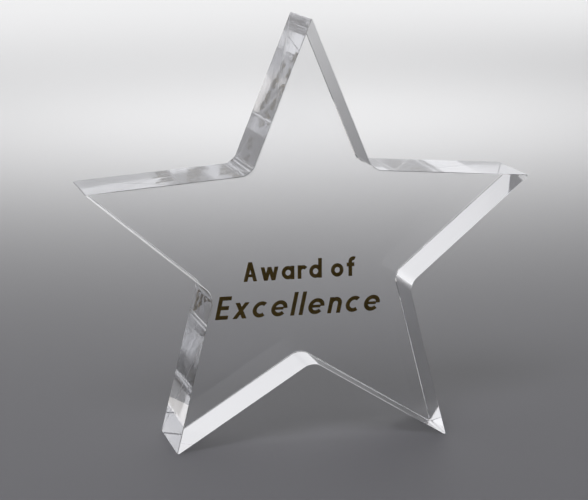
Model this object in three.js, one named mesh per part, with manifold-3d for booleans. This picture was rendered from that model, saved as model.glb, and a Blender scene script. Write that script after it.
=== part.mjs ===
// A free-standing star award: one thick clear acrylic star with a gold-filled inscription
// engraved in its rear face. The star stands on its two lower points.
// Millimetres, +Z up, +X to the right seen from the front, front face towards -Y.
// The origin is on the floor, midway between the two feet and midway through the thickness.

import * as THREE from 'three';
import { mergeVertices } from 'three/addons/utils/BufferGeometryUtils.js';
import Module from 'manifold-3d';

const wasm = await Module();
wasm.setup();

// The star
const points = 5;
const tipRadius = 83;         // centre to the point where a tip's two edges would meet
const notchRadius = 36.8;     // centre to the point where a notch's two edges would meet
const thickness = 30;         // the acrylic sheet
const notchFillet = 5.5;      // left by the router in the inner corners
const tipRound = 0.3;         // polished end of the three free tips
const footCut = 0.6;          // taken off the two lower tips, so that each stands on a flat
const notchSteps = 10;
const tipSteps = 3;

// The inscription. Each line's letters are drawn round, then narrowed. Weight is the stroke's
// width and gap the space between letters, in cap heights before narrowing.
const engraveDepth = 0.8;
const fillRecess = 0.1;       // rear face down to the gold fill
const fillClearance = 0.15;   // fill to the walls and floor of its engraving
const sideMargin = 7.5;       // lower line to the star's edge on each side
const notchMargin = 12.3;     // lower line's baseline above the bottom notch
const lineSpacing = 13.2;     // baseline to baseline
const upperLineScale = 0.84;  // letter height of the upper line to the lower line
const upperLine = { text: 'Award of', weight: 0.2, slant: 0, narrowing: 0.94, gap: 0.19 };
const lowerLine = {
  text: 'Excellence', weight: 0.17, slant: THREE.MathUtils.degToRad(12), narrowing: 1, gap: 0.2,
};

// Letter proportions, in cap heights
const xHeight = 0.7;
const ascender = 1.02;
const wordGap = 0.52;
const thinStroke = 0.7;       // of the bars of A and e, to the line's weight
const arcSteps = 14;

const acrylic = new THREE.MeshStandardMaterial({
  color: 0xe9eef0, roughness: 0.03, metalness: 0, transparent: true, opacity: 0.35,
});
const goldFill = new THREE.MeshStandardMaterial({ color: 0x6b5a2a, roughness: 0.38, metalness: 0.7 });

// ---- Solids -------------------------------------------------------------------------------

function toSolid(geometry) {
  const bare = geometry.clone();
  bare.deleteAttribute('normal');
  bare.deleteAttribute('uv');
  const merged = mergeVertices(bare, 1e-4);
  return new wasm.Manifold(new wasm.Mesh({
    numProp: 3,
    vertProperties: merged.attributes.position.array,
    triVerts: new Uint32Array(merged.index.array),
  }));
}

function toGeometry(solid) {
  const mesh = solid.getMesh();
  const geometry = new THREE.BufferGeometry();
  geometry.setAttribute('position', new THREE.BufferAttribute(mesh.vertProperties, 3));
  geometry.setIndex(new THREE.BufferAttribute(mesh.triVerts, 1));
  geometry.computeVertexNormals();
  return geometry;
}

function joined(solids) {
  return solids.reduce((sum, solid) => sum.add(solid));
}

// Extrudes a flat shape drawn in X and Z, from nearY back to farY.
function plate(shape, nearY, farY, curveSegments) {
  const options = { depth: farY - nearY, bevelEnabled: false, curveSegments };
  const geometry = new THREE.ExtrudeGeometry(shape, options);
  geometry.rotateX(Math.PI / 2);
  geometry.translate(0, farY, 0);
  return geometry;
}

// ---- Star outline -------------------------------------------------------------------------

const turn = (2 * Math.PI) / points;
const halfTip = Math.atan2(
  notchRadius * Math.sin(turn / 2),
  tipRadius - notchRadius * Math.cos(turn / 2),
);
const halfNotch = halfTip + turn / 2;      // half of the angle of air in a notch
const centreHeight = tipRadius * Math.cos(turn / 2) - footCut;

const polar = (radius, angle) => new THREE.Vector2(radius * Math.sin(angle), radius * Math.cos(angle));

// Points of an arc that rounds a corner at the given distance and direction from the centre.
// A tip's arc bulges outwards and a notch's arc bulges inwards.
function cornerArc(cornerRadius, angle, halfAngle, arcRadius, steps, outwards) {
  const side = outwards ? 1 : -1;
  const centre = polar(cornerRadius - (side * arcRadius) / Math.sin(halfAngle), angle);
  const sweep = Math.PI / 2 - halfAngle;
  return Array.from({ length: steps + 1 }, (unused, step) => {
    const across = side * sweep * ((2 * step) / steps - 1);
    return polar(side * arcRadius, angle + across).add(centre);
  });
}

// A lower tip is cut level with the floor.
function footCorner(angle) {
  const tip = polar(tipRadius, angle);
  const floor = -centreHeight;
  const neighbours = [angle - turn / 2, angle + turn / 2].map((a) => polar(notchRadius, a));
  return neighbours.map((notch) => tip.clone().lerp(notch, (floor - tip.y) / (notch.y - tip.y)));
}

function starOutline() {
  const outline = [];
  for (let arm = 0; arm < points; arm += 1) {
    const tipAngle = arm * turn;
    const isFoot = polar(tipRadius, tipAngle).y < -centreHeight;
    outline.push(...(isFoot
      ? footCorner(tipAngle)
      : cornerArc(tipRadius, tipAngle, halfTip, tipRound, tipSteps, true)));
    outline.push(...cornerArc(
      notchRadius, tipAngle + turn / 2, halfNotch, notchFillet, notchSteps, false,
    ));
  }
  return outline;
}

// ---- Letters ------------------------------------------------------------------------------
// A letter is a few strokes of one width. Sizes are in cap heights: h is half the stroke's
// width, and round letters are rings as high as a small letter.

const line = (x0, z0, x1, z1, share = 1) => ({ x0, z0, x1, z1, share });
const arc = (x, z, radius, from, to) => ({
  x, z, radius, from: THREE.MathUtils.degToRad(from), to: THREE.MathUtils.degToRad(to),
});

function letterStrokes(letter, h) {
  const bowl = xHeight / 2 - h;            // middle of a ring's stroke
  const middle = xHeight / 2;
  const ring = (from, to) => arc(middle, middle, bowl, from, to);
  const shoulder = 0.2;                    // turn of n and r
  const hook = 0.17;                       // turn of f
  switch (letter) {
    case 'A': return {
      width: 0.78,
      strokes: [
        line(1.2 * h, 0, 0.39, 1),
        line(0.78 - 1.2 * h, 0, 0.39, 1),
        line(0.17, 0.3, 0.61, 0.3, thinStroke),
      ],
    };
    case 'E': return {
      width: 0.54,
      strokes: [line(h, 0, h, 1), line(h, h, 0.54, h), line(h, 0.5, 0.5, 0.5), line(h, 1 - h, 0.54, 1 - h)],
    };
    case 'a': return { width: xHeight, strokes: [ring(0, 360), line(xHeight - h, 0, xHeight - h, xHeight)] };
    case 'c': return { width: 0.88 * xHeight, strokes: [ring(52, 308)] };
    case 'd': return { width: xHeight, strokes: [ring(0, 360), line(xHeight - h, 0, xHeight - h, ascender)] };
    case 'e': return {
      width: xHeight,
      strokes: [ring(0, 318), line(h, middle, xHeight - 2 * h, middle, thinStroke)],
    };
    case 'f': return {
      width: 0.46,
      strokes: [
        line(0.2, 0, 0.2, ascender - h - hook),
        arc(0.2 + hook, ascender - h - hook, hook, 60, 180),
        line(0, xHeight - h, 0.42, xHeight - h),
      ],
    };
    case 'l': return { width: 2 * h, strokes: [line(h, 0, h, ascender)] };
    case 'n': return {
      width: 2 * (h + shoulder),
      strokes: [
        line(h, 0, h, xHeight),
        arc(h + shoulder, xHeight - h - shoulder, shoulder, 0, 180),
        line(h + 2 * shoulder, 0, h + 2 * shoulder, xHeight - h - shoulder),
      ],
    };
    case 'o': return { width: xHeight, strokes: [ring(0, 360)] };
    case 'r': return {
      width: 0.46,
      strokes: [line(h, 0, h, xHeight), arc(h + shoulder, xHeight - h - shoulder, shoulder, 40, 180)],
    };
    case 'w': return {
      width: 0.98,
      strokes: [
        line(1.05 * h, xHeight, 0.28, 0),
        line(0.28, 0, 0.49, xHeight),
        line(0.49, xHeight, 0.7, 0),
        line(0.7, 0, 0.98 - 1.05 * h, xHeight),
      ],
    };
    case 'x': return {
      width: 0.64,
      strokes: [line(1.3 * h, 0, 0.64 - 1.3 * h, xHeight), line(1.3 * h, xHeight, 0.64 - 1.3 * h, 0)],
    };
    default: throw new Error(`no strokes for the letter ${letter}`);
  }
}

// A stroke's flat shape. grow widens and lengthens it on all sides.
function strokeShape(stroke, h, grow) {
  if (stroke.radius === undefined) {
    const { x0, z0, x1, z1, share } = stroke;
    const half = h * share + grow;
    const run = new THREE.Vector2(x1 - x0, z1 - z0);
    const steep = Math.abs(run.y) >= Math.abs(run.x);
    const past = run.clone().multiplyScalar(grow / Math.abs(steep ? run.y : run.x));
    const wide = (half * run.length()) / Math.abs(steep ? run.y : run.x);
    const across = steep ? new THREE.Vector2(wide, 0) : new THREE.Vector2(0, wide);
    const start = new THREE.Vector2(x0, z0).sub(past);
    const end = new THREE.Vector2(x1, z1).add(past);
    return new THREE.Shape([
      start.clone().sub(across), start.clone().add(across), end.clone().add(across), end.clone().sub(across),
    ]);
  }
  const { x, z, radius, from, to } = stroke;
  const half = h + grow;
  const shape = new THREE.Shape();
  if (to - from >= 2 * Math.PI) {
    shape.absarc(x, z, radius + half, 0, 2 * Math.PI, false);
    shape.holes.push(new THREE.Path().absarc(x, z, radius - half, 0, 2 * Math.PI, true));
  } else {
    const past = grow / (radius - half);
    shape.absarc(x, z, radius + half, from - past, to + past, false);
    shape.absarc(x, z, radius - half, to + past, from - past, true);
  }
  return shape;
}

// One letter as a solid, from nearY back to farY, its lower left corner at x and z.
function letterSolid(letter, style, capHeight, x, z, grow, nearY, farY) {
  const h = style.weight / 2;
  const lean = new THREE.Matrix4().makeShear(0, 0, 0, 0, Math.tan(style.slant), 0);
  return joined(letterStrokes(letter, h).strokes.map((stroke) => {
    const steps = stroke.to - stroke.from >= 2 * Math.PI ? 2 * arcSteps : arcSteps;
    const geometry = plate(strokeShape(stroke, h, grow / capHeight), nearY, farY, steps);
    geometry.scale(capHeight * style.narrowing, 1, capHeight);
    geometry.applyMatrix4(lean);
    geometry.translate(x, 0, z);
    return toSolid(geometry);
  }));
}

// Where each letter of a line starts, and the line's width, in cap heights.
function layOut(style) {
  let pen = 0;
  const letters = [];
  for (const letter of style.text) {
    if (letter === ' ') {
      pen += wordGap - style.gap;
    } else {
      letters.push({ letter, start: pen * style.narrowing });
      pen += letterStrokes(letter, style.weight / 2).width + style.gap;
    }
  }
  return { letters, width: (pen - style.gap) * style.narrowing };
}

// Half of the star's width at a height below its side notches.
function halfWidthAt(z) {
  const notch = polar(notchRadius, 1.5 * turn);
  const foot = polar(tipRadius, 2 * turn);
  return notch.x + ((foot.x - notch.x) * (z - notch.y)) / (foot.y - notch.y);
}

// ---- Assembly -----------------------------------------------------------------------------

const rear = thickness / 2;
const lowerBaseline = notchMargin - notchRadius;
const lowerLayout = layOut(lowerLine);
const lowerWidth = 2 * (halfWidthAt(lowerBaseline) - sideMargin);
const lowerCap = lowerWidth / (lowerLayout.width + Math.tan(lowerLine.slant));

const inscription = [
  { name: 'line_1', style: upperLine, cap: lowerCap * upperLineScale, z: lowerBaseline + lineSpacing },
  { name: 'line_2', style: lowerLine, cap: lowerCap, z: lowerBaseline },
];

const trophy = new THREE.Group();
trophy.name = 'star_trophy';
let block = toSolid(plate(new THREE.Shape(starOutline()), -rear, rear, 1));

for (const { name, style, cap, z } of inscription) {
  const { letters, width } = layOut(style);
  const leftEdge = -(cap * (width + Math.tan(style.slant))) / 2;
  letters.forEach(({ letter, start }, index) => {
    const x = leftEdge + cap * start;
    const open = rear + engraveDepth;      // the cutter's solid runs out past the rear face
    const floor = rear - engraveDepth;
    block = block.subtract(letterSolid(letter, style, cap, x, z, fillClearance, floor, open));
    const fill = letterSolid(letter, style, cap, x, z, 0, floor + fillClearance, rear - fillRecess);
    const mesh = new THREE.Mesh(toGeometry(fill), goldFill.clone());
    mesh.name = `${name}_letter_${index + 1}_${letter}`;
    mesh.position.z = centreHeight;
    trophy.add(mesh);
  });
}

const star = new THREE.Mesh(toGeometry(block), acrylic);
star.name = 'star_block';
star.position.z = centreHeight;
trophy.add(star);

export default trophy;
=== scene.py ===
import math

import bmesh
import bpy
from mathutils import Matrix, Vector


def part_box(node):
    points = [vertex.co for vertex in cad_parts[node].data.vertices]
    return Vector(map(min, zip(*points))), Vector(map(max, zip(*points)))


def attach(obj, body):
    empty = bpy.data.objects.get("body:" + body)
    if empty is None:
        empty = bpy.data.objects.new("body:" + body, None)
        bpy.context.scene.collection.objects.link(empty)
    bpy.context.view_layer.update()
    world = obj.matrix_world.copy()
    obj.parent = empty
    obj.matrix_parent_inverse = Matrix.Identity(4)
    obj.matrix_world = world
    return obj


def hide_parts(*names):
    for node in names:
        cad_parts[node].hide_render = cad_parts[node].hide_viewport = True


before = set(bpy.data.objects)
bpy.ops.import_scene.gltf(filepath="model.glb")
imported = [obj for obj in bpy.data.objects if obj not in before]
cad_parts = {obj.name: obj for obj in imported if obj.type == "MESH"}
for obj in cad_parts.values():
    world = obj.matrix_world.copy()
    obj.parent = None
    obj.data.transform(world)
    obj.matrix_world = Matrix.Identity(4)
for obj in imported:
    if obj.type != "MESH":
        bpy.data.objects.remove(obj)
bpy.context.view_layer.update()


# ---- The acrylic star ---------------------------------------------------------------------
# A five-pointed star routed from 30 mm cast acrylic sheet, with every edge polished. The
# router leaves a radius in the inner corners, the tips stay almost sharp, and the two lower
# tips are cut level so that the star stands on them.

MM = 0.001
block_low, block_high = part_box("star_block")
points = 5
tip_radius = 83 * MM
notch_radius = 36.8 * MM
notch_fillet = 5.5 * MM
tip_round = 0.4 * MM
foot_cut = 0.6 * MM
edge_ease = 0.25 * MM         # the polished break along the rims of the two faces
notch_steps = 28
tip_steps = 6
ease_steps = 3
weld = 0.001 * MM             # points closer than this are the same point

turn = 2 * math.pi / points
centre_height = tip_radius * math.cos(turn / 2) - foot_cut
half_tip = math.atan2(
    notch_radius * math.sin(turn / 2), tip_radius - notch_radius * math.cos(turn / 2)
)
half_notch = half_tip + turn / 2


def corner_edges(mesh, radius, above=-math.inf):
    """The front-to-rear edges at this distance from the star's centre, above a height."""
    return [
        edge for edge in mesh.edges
        if abs(edge.verts[0].co.y - edge.verts[1].co.y) > (block_high.y - block_low.y) / 2
        and abs(math.hypot(edge.verts[0].co.x, edge.verts[0].co.z - centre_height) - radius) < weld
        and edge.verts[0].co.z > above
    ]


def faces_front_or_rear(face):
    """True for the star's two large faces, and False for its edges."""
    return abs(face.normal.y) > 0.5


shape = bmesh.new()
outline = []
for corner in range(2 * points):
    radius = notch_radius if corner % 2 else tip_radius
    angle = corner * turn / 2
    outline.append(shape.verts.new((
        radius * math.sin(angle), block_low.y, centre_height + radius * math.cos(angle)
    )))
front = shape.faces.new(outline)
pulled = bmesh.ops.extrude_face_region(shape, geom=[front])
bmesh.ops.translate(
    shape,
    verts=[item for item in pulled["geom"] if isinstance(item, bmesh.types.BMVert)],
    vec=(0, block_high.y - block_low.y, 0),
)
bmesh.ops.bevel(
    shape, geom=corner_edges(shape, notch_radius),
    offset=notch_fillet / math.tan(half_notch), segments=notch_steps, profile=0.5,
    affect="EDGES", material=-1,
)
bmesh.ops.bevel(
    shape, geom=corner_edges(shape, tip_radius, above=block_low.z),
    offset=tip_round / math.tan(half_tip), segments=tip_steps, profile=0.5,
    affect="EDGES", material=-1,
)
bmesh.ops.bisect_plane(
    shape, geom=shape.verts[:] + shape.edges[:] + shape.faces[:],
    plane_co=(0, 0, block_low.z), plane_no=(0, 0, -1), clear_outer=True,
)
bmesh.ops.holes_fill(shape, edges=[e for e in shape.edges if e.is_boundary], sides=0)
bmesh.ops.recalc_face_normals(shape, faces=shape.faces[:])
rims = [edge for edge in shape.edges if sum(map(faces_front_or_rear, edge.link_faces)) == 1]
bmesh.ops.bevel(
    shape, geom=rims, offset=edge_ease, segments=ease_steps, profile=0.5,
    affect="EDGES", material=-1,
)
for face in shape.faces:
    face.smooth = True
star_mesh = bpy.data.meshes.new("clear_star")
shape.to_mesh(star_mesh)
shape.free()
star = bpy.data.objects.new("clear_star", star_mesh)
bpy.context.scene.collection.objects.link(star)

# The engraving: each letter's recess follows its gold fill, which touches the acrylic all
# round. The recess is a hair smaller than the fill, so that no film of air shows between.
fill_overlap = 0.04 * MM
run_out = 0.5 * MM            # how far the cutter comes out of the rear face
letters = [node for name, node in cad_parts.items() if "_letter_" in name]
cutter = bmesh.new()
for letter in letters:
    cutter.from_mesh(letter.data)
bmesh.ops.remove_doubles(cutter, verts=cutter.verts[:], dist=weld)
cutter.normal_update()
letter_low, letter_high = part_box(letters[0].name)
middle_y = (letter_low.y + letter_high.y) / 2
for vert in cutter.verts:
    vert.co -= vert.normal * fill_overlap
for vert in cutter.verts:
    if vert.co.y > middle_y:
        vert.co.y = block_high.y + run_out
cutter_mesh = bpy.data.meshes.new("engraving")
cutter.to_mesh(cutter_mesh)
cutter.free()
engraving = bpy.data.objects.new("engraving", cutter_mesh)
bpy.context.scene.collection.objects.link(engraving)
engrave = star.modifiers.new("engrave", "BOOLEAN")
engrave.operation = "DIFFERENCE"
engrave.solver = "EXACT"
engrave.use_self = True
engrave.object = engraving
now = bpy.context.evaluated_depsgraph_get()
engraved_mesh = bpy.data.meshes.new_from_object(star.evaluated_get(now))
star.modifiers.clear()
star.data = engraved_mesh
engraved_mesh.name = "clear_star"
bpy.data.objects.remove(engraving)

# The corners of the recesses stay crisp, while the eased rims and the rounds shade smoothly
# into flat faces.
crisp_angle = math.radians(40)
carved = bmesh.new()
carved.from_mesh(engraved_mesh)
for edge in carved.edges:
    edge.smooth = edge.calc_face_angle(0) < crisp_angle
carved.to_mesh(engraved_mesh)
carved.free()
flat_faces = star.modifiers.new("flat_faces_stay_flat", "WEIGHTED_NORMAL")
flat_faces.weight = 100
flat_faces.keep_sharp = True


def linear(hex_colour):
    """An sRGB hex colour as linear red, green and blue."""
    channels = [int(hex_colour[i:i + 2], 16) / 255 for i in (1, 3, 5)]
    return [c / 12.92 if c <= 0.04045 else ((c + 0.055) / 1.055) ** 2.4 for c in channels]


def add(tree, kind, settings=(), inputs=()):
    """Adds a node with its settings, and sets or links its inputs."""
    node = tree.nodes.new(kind)
    for name, value in dict(settings).items():
        setattr(node, name, value)
    for name, value in dict(inputs).items():
        if isinstance(value, bpy.types.NodeSocket):
            tree.links.new(value, node.inputs[name])
        else:
            node.inputs[name].default_value = value
    return node


def new_material(name):
    """A named material and its empty node tree."""
    material = bpy.data.materials.new(name)
    material.use_nodes = True
    material.node_tree.nodes.clear()
    return material, material.node_tree


# Cast acrylic, water-clear with a faint cool tint through a long path. The two faces are as
# cast. The edges are milled and polished: they keep fine lines along the cutter's path, the
# cross marks of its teeth and a slow waviness, which break up what they reflect. The real
# lines are a few tenths of a millimetre apart, and are drawn coarser so that they show.
line_spacing = 1.1 * MM
tooth_spacing = 0.8 * MM
wave_length = 14 * MM
line_height = 0.006 * MM
tooth_height = 0.0015 * MM
wave_height = 0.003 * MM
along_stretch = 0.02          # how little the lines change along the edge
ridge_start = 0.52            # the part of the lines' pattern that stands up as ridges
ridge_full = 0.72
acrylic_ior = 1.49
tint_density = 4.0
cast_acrylic, tree = new_material("polished_cast_acrylic")
place = add(tree, "ShaderNodeTexCoord").outputs["Object"]
stretched = add(tree, "ShaderNodeMapping", inputs={
    "Vector": place, "Scale": (along_stretch, 1, along_stretch),
}).outputs["Vector"]
lines = add(tree, "ShaderNodeTexNoise", inputs={
    "Vector": stretched, "Scale": 1 / line_spacing, "Detail": 2.0,
}).outputs["Fac"]
across = add(tree, "ShaderNodeMapping", inputs={
    "Vector": place, "Scale": (1, along_stretch, 1),
}).outputs["Vector"]
teeth = add(tree, "ShaderNodeTexNoise", inputs={
    "Vector": across, "Scale": 1 / tooth_spacing, "Detail": 1.0,
}).outputs["Fac"]
waves = add(tree, "ShaderNodeTexNoise", inputs={
    "Vector": place, "Scale": 1 / wave_length, "Detail": 1.0,
}).outputs["Fac"]
height = add(tree, "ShaderNodeMapRange", inputs={
    "Value": lines, "From Min": ridge_start, "From Max": ridge_full,
    "To Min": 0.0, "To Max": line_height,
}).outputs["Result"]
for marks, marks_height in ((teeth, tooth_height), (waves, wave_height)):
    height = add(tree, "ShaderNodeMath", {"operation": "MULTIPLY_ADD"}, {
        0: marks, 1: marks_height, 2: height,
    }).outputs[0]
normal = add(tree, "ShaderNodeNewGeometry").outputs["Normal"]
facing = add(tree, "ShaderNodeSeparateXYZ", inputs={"Vector": normal}).outputs["Y"]
facing = add(tree, "ShaderNodeMath", {"operation": "ABSOLUTE"}, {0: facing}).outputs[0]
on_edge = add(tree, "ShaderNodeMath", {"operation": "LESS_THAN"}, {0: facing, 1: 0.5}).outputs[0]
height = add(tree, "ShaderNodeMath", {"operation": "MULTIPLY"}, {0: height, 1: on_edge}).outputs[0]
bump = add(tree, "ShaderNodeBump", inputs={"Height": height, "Strength": 1.0, "Distance": 1.0})
surface = add(tree, "ShaderNodeBsdfPrincipled", inputs={
    "Base Color": (*linear("#fefefe"), 1), "Roughness": 0.0, "IOR": acrylic_ior,
    "Transmission Weight": 1.0, "Normal": bump.outputs["Normal"],
})
tint = add(tree, "ShaderNodeVolumeAbsorption", inputs={
    "Color": (*linear("#f1f2f5"), 1), "Density": tint_density,
})
add(tree, "ShaderNodeOutputMaterial", inputs={
    "Surface": surface.outputs["BSDF"], "Volume": tint.outputs["Volume"],
})
star.data.materials.clear()
star.data.materials.append(cast_acrylic)
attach(star, "root")
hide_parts("star_block")


# ---- The gold lettering -------------------------------------------------------------------
# Metallic paint filled into the engraved letters, a little below the rear face. It reads dark
# gold from the front, where it is seen through the block. Its flakes are drawn coarser than
# the real ones, so that they show as a fine grain.

flake_size = 0.4 * MM
grain_height = 0.02 * MM
gold_paint, tree = new_material("satin_gold_paint")
place = add(tree, "ShaderNodeTexCoord").outputs["Object"]
flakes = add(tree, "ShaderNodeTexNoise", inputs={
    "Vector": place, "Scale": 1 / flake_size, "Detail": 3.0,
}).outputs["Fac"]
shade = add(tree, "ShaderNodeMix", {"data_type": "RGBA"}, {
    0: flakes, 6: (*linear("#45380e"), 1), 7: (*linear("#7c6420"), 1),
}).outputs[2]
grain = add(tree, "ShaderNodeBump", inputs={
    "Height": flakes, "Strength": 0.4, "Distance": grain_height,
})
surface = add(tree, "ShaderNodeBsdfPrincipled", inputs={
    "Base Color": shade, "Metallic": 1.0, "Roughness": 0.4, "Normal": grain.outputs["Normal"],
})
add(tree, "ShaderNodeOutputMaterial", inputs={"Surface": surface.outputs["BSDF"]})
for letter in letters:
    letter.data.materials.clear()
    letter.data.materials.append(gold_paint)


# ---- Floor, light and camera --------------------------------------------------------------
# A plain pale floor, painted matt. A large soft light far behind washes it, and falls off
# towards the camera.

floor_radius = 14.0
floor_segments = 96
floor_gap = 0.1 * MM          # keeps the floor from lying in the plane of the star's feet
ground = bmesh.new()
bmesh.ops.create_circle(ground, cap_ends=True, segments=floor_segments, radius=floor_radius)
bmesh.ops.translate(ground, verts=ground.verts[:], vec=(0, 0, -floor_gap))
floor_mesh = bpy.data.meshes.new("floor")
ground.to_mesh(floor_mesh)
ground.free()
floor = bpy.data.objects.new("floor", floor_mesh)
bpy.context.scene.collection.objects.link(floor)
floor_paint, tree = new_material("pale_floor")
surface = add(tree, "ShaderNodeBsdfPrincipled", inputs={
    "Base Color": (*linear("#b8b8ba"), 1), "Roughness": 0.6,
})
add(tree, "ShaderNodeOutputMaterial", inputs={"Surface": surface.outputs["BSDF"]})
floor_mesh.materials.append(floor_paint)

# The surroundings show in the acrylic and help to light the floor. They are bright low down
# behind the star and on its left, and dark high up. Each glow starts and is full at the two
# given distances along its axis, on a sphere of radius 1 round the star.
behind_glow = 0.92
behind_from, behind_to = 0.1, 0.7
left_glow = 1.1
right_glow = 0.25
left_from, left_to = 0.3, -0.5
high_glow = 0.08
high_from, high_to = 0.3, 0.55
world = bpy.data.worlds.new("studio")
bpy.context.scene.world = world
world.use_nodes = True
tree = world.node_tree
tree.nodes.clear()
direction = add(tree, "ShaderNodeTexCoord").outputs["Generated"]
towards = add(tree, "ShaderNodeSeparateXYZ", inputs={"Vector": direction})
behind = add(tree, "ShaderNodeMapRange", {"interpolation_type": "SMOOTHSTEP"}, {
    "Value": towards.outputs["Y"], "From Min": behind_from, "From Max": behind_to,
    "To Min": 0.0, "To Max": behind_glow,
}).outputs["Result"]
left = add(tree, "ShaderNodeMapRange", {"interpolation_type": "SMOOTHSTEP"}, {
    "Value": towards.outputs["X"], "From Min": left_from, "From Max": left_to,
    "To Min": right_glow, "To Max": left_glow,
}).outputs["Result"]
glow = add(tree, "ShaderNodeMath", {"operation": "MAXIMUM"}, {0: behind, 1: left}).outputs[0]
low_down = add(tree, "ShaderNodeMapRange", {"interpolation_type": "SMOOTHSTEP"}, {
    "Value": towards.outputs["Z"], "From Min": high_from, "From Max": high_to,
    "To Min": 1.0, "To Max": high_glow,
}).outputs["Result"]
glow = add(tree, "ShaderNodeMath", {"operation": "MULTIPLY"}, {0: glow, 1: low_down}).outputs[0]
sky = add(tree, "ShaderNodeBackground", inputs={
    "Color": (*linear("#f7f7fa"), 1), "Strength": glow,
})
add(tree, "ShaderNodeOutputWorld", inputs={"Surface": sky.outputs["Background"]})


def soft_box(name, place, look_at, width, height, watts, colour, spread=180, in_acrylic=False):
    """A soft light that the camera doesn't see, and the acrylic only if in_acrylic is set."""
    light = bpy.data.lights.new(name, "AREA")
    light.shape = "RECTANGLE"
    light.size = width
    light.size_y = height
    light.energy = watts
    light.spread = math.radians(spread)
    light.color = linear(colour)
    holder = bpy.data.objects.new(name, light)
    holder.location = place
    holder.rotation_euler = (Vector(look_at) - Vector(place)).to_track_quat("-Z", "Y").to_euler()
    holder.visible_camera = False
    holder.visible_glossy = in_acrylic
    holder.visible_transmission = in_acrylic
    bpy.context.scene.collection.objects.link(holder)


soft_box(
    "front_key", place=(-0.35, -0.75, 0.95), look_at=(0, 0.05, 0), width=0.5, height=0.5,
    watts=2.0, colour="#f4f2ff", in_acrylic=True,
)
# A lit card that lies on the floor to the left, and brightens the left side faces.
soft_box(
    "left_card", place=(-0.18, -0.1, 0.002), look_at=(-0.18, -0.1, 1), width=0.24, height=0.36,
    watts=0.26, colour="#fffaf5", in_acrylic=True,
)
soft_box(
    "rear_pool", place=(0.2, 0.75, 0.55), look_at=(0.2, 0.75, 0), width=0.6, height=0.4,
    watts=2.0, colour="#fffffd", spread=110,
)
soft_box(
    "rear_wash", place=(0.6, 6.6, 0.7), look_at=(0.6, 6.6, 0), width=14.0, height=11.0,
    watts=860, colour="#fffffd", spread=130,
)

view_yaw = math.radians(14.0)
view_pitch = math.radians(10.25)
view_roll = math.radians(-0.3)
view_distance = 8.796 * tip_radius
field = 0.28237               # width of the view to its distance
aim_left = 0.0265 * tip_radius
aim_above_centre = 0.1728 * tip_radius
aim = Vector((-aim_left, 0, centre_height + aim_above_centre))
looking = Vector((
    math.sin(view_yaw) * math.cos(view_pitch),
    math.cos(view_yaw) * math.cos(view_pitch),
    -math.sin(view_pitch),
))
lens = bpy.data.cameras.new("camera")
lens.sensor_width = 36
lens.lens = lens.sensor_width / field
lens.shift_x = -0.0034
lens.shift_y = -0.068
lens.clip_start = 0.01
camera = bpy.data.objects.new("camera", lens)
camera.location = aim - looking * view_distance
camera.rotation_euler = looking.to_track_quat("-Z", "Y").to_euler()
camera.rotation_euler.rotate_axis("Z", view_roll)
bpy.context.scene.collection.objects.link(camera)
bpy.context.scene.camera = camera
bpy.context.scene.view_settings.view_transform = "Standard"

# Light passes many faces inside the block, so its paths are long.
bpy.context.scene.cycles.max_bounces = 32
bpy.context.scene.cycles.transmission_bounces = 32
bpy.context.scene.cycles.glossy_bounces = 16
